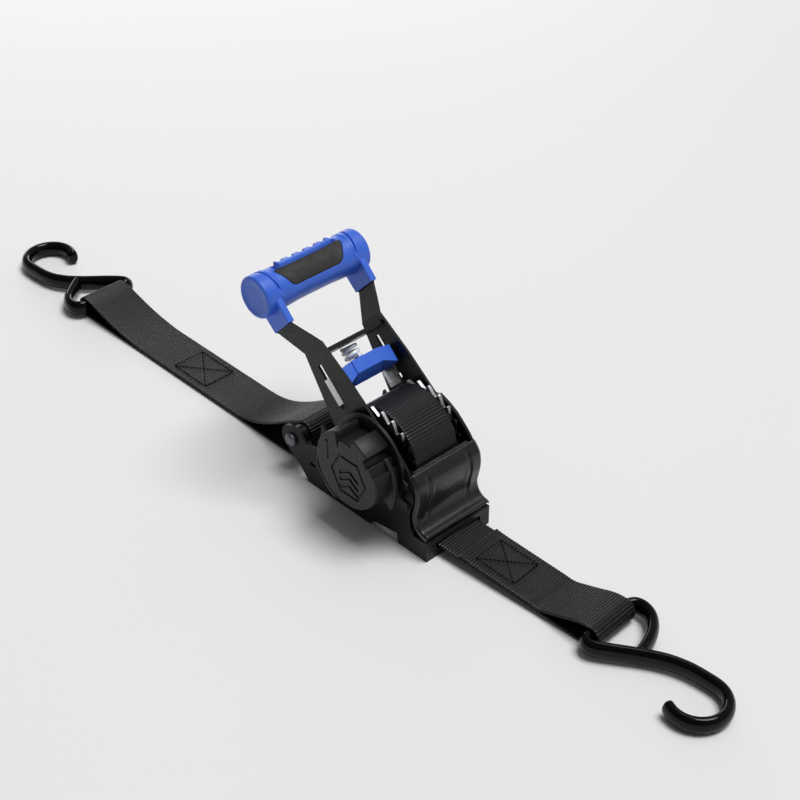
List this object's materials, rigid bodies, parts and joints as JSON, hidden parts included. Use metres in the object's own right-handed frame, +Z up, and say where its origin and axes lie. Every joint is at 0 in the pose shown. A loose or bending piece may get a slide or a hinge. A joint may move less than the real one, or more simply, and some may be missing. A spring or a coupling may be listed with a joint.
{
  "type": "retractable ratchet tie-down strap",
  "caption": "Ratchet tie-down with a sprung strap roll, lever handle, fixed rear sling and a coated S-hook at each end.",
  "frame": {"origin": "middle of the frame base plate's underside, between the two side plates, 37 mm behind the spindle's axis", "axes": "+X along the strap to the front hook, +Y away from the spring case, +Z up from the floor"},
  "size_m": [0.9314, 0.1244, 0.2047],
  "materials": {
    "black_steel": "satin black",
    "zinc": "zinc plated",
    "spring_steel": "bright",
    "black_plastic": "satin",
    "blue_plastic": "satin",
    "grip_rubber": "ribbed matte",
    "webbing": "woven",
    "coated_wire": "gloss coated"
  },
  "bodies": {
    "frame": {"frame_plate_left": "black_steel", "frame_plate_right": "black_steel", "frame_base_plate": "black_steel", "front_strap_guide": "black_steel", "rear_bolt": "zinc", "rear_bolt_washer": "zinc", "rear_bolt_nut": "zinc", "rear_sleeve": "black_steel", "spring_case_base": "black_plastic", "spring_cap": "black_plastic", "return_spring": "spring_steel", "case_rivet_1": "zinc", "case_rivet_2": "zinc", "case_rivet_3": "zinc", "lever_pin": "black_steel", "lever_pin_clip_left": "black_steel", "lever_pin_clip_right": "black_steel", "lever_spring": "spring_steel", "strap_lead": "webbing"},
    "spool": {"spindle_half_upper": "zinc", "spindle_half_lower": "zinc", "ratchet_wheel_left": "zinc", "ratchet_wheel_right": "zinc", "webbing_roll": "webbing", "spindle_washer": "zinc", "spindle_end_ring": "black_steel", "spring_arbor": "black_plastic"},
    "release_lever": {"release_lever": "black_steel", "locking_pawl": "zinc"},
    "handle": {"handle_plate_left": "black_steel", "handle_plate_right": "black_steel", "handle_crossbar": "black_steel", "grip_body": "blue_plastic", "grip_pad": "grip_rubber", "pawl_spring": "spring_steel"},
    "drive_pawl": {"drive_pawl": "zinc", "trigger": "blue_plastic"},
    "front_strap": {"front_strap": "webbing"},
    "front_hook": {"front_hook": "coated_wire"},
    "rear_strap": {"rear_strap": "webbing"},
    "rear_hook": {"rear_hook": "coated_wire"}
  },
  "joints": [
    {"name": "handle_swing", "type": "hinge", "parent": "frame", "child": "handle", "pos_m": [0.037, 0, 0.0755], "axis": [0, 1, 0], "range_deg": [-43.5, 75]},
    {"name": "trigger_pull", "type": "slide", "parent": "handle", "child": "drive_pawl", "axis": [-0.7254, 0, 0.6884], "range_m": [0, 0.008], "stiffness_N_per_m": 1200, "springref_m": -0.004, "deforming": ["pawl_spring"]},
    {"name": "webbing_payout", "type": "slide", "parent": "frame", "child": "front_strap", "axis": [0.9986, 0.0523, 0], "range_m": [0, 0.06], "stiffness_N_per_m": 30, "deforming": ["strap_lead"]},
    {"name": "spool_turn", "type": "hinge", "parent": "frame", "child": "spool", "pos_m": [0.037, 0, 0.0755], "axis": [0, 1, 0], "range_deg": [-90, 0], "deforming": ["return_spring"]},
    {"name": "release_lever_press", "type": "hinge", "parent": "frame", "child": "release_lever", "pos_m": [0.0825, 0, 0.06], "axis": [0, 1, 0], "range_deg": [0, 8], "stiffness_Nm_per_rad": 1, "springref_deg": -11.46, "deforming": ["lever_spring"]},
    {"name": "front_hook_swing", "type": "hinge", "parent": "front_strap", "child": "front_hook", "pos_m": [0.26378, 0.00837, 0.011], "axis": [0.0523, -0.9986, 0], "range_deg": [-40, 60]},
    {"name": "rear_strap_swing", "type": "hinge", "parent": "frame", "child": "rear_strap", "pos_m": [-0.0665, 0, 0.0365], "axis": [0, 1, 0], "range_deg": [0, 25]},
    {"name": "rear_hook_swing", "type": "hinge", "parent": "rear_strap", "child": "rear_hook", "pos_m": [-0.401, 0, 0.011], "axis": [0, 1, 0], "range_deg": [-40, 60]}
  ],
  "couplings": [
    {"joint": "spool_turn", "follows": "webbing_payout", "rad_per_m": -25.445}
  ]
}
